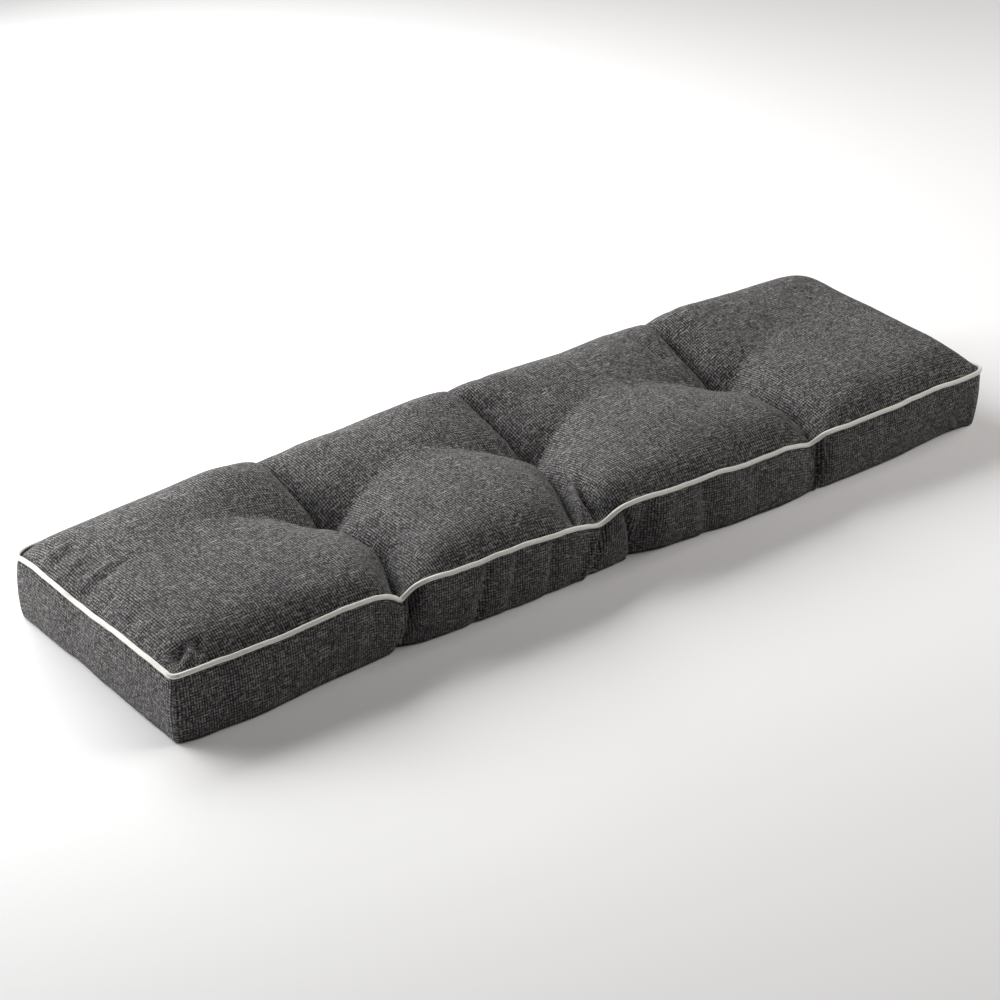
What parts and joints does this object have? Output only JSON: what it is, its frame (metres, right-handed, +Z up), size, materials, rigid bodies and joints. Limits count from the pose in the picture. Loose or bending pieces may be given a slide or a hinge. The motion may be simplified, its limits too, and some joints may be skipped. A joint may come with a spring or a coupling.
{
  "type": "bench cushion",
  "caption": "Long boxed bench cushion in dark grey slubbed cloth, tufted along its centre line, with a light piped top seam.",
  "frame": {"origin": "centre of the box of the cushion at its flat underside", "axes": "+X along the cushion's length, +Y across it from the front to the back long edge, +Z up out of the tufted top"},
  "size_m": [1.222, 0.3596, 0.126],
  "materials": {
    "cover_cloth": "matt slubbed plain weave, dark grey",
    "piping_cloth": "matt plain weave, off-white"
  },
  "bodies": {
    "root": {"cushion": "cover_cloth", "piping": "piping_cloth"}
  },
  "joints": []
}
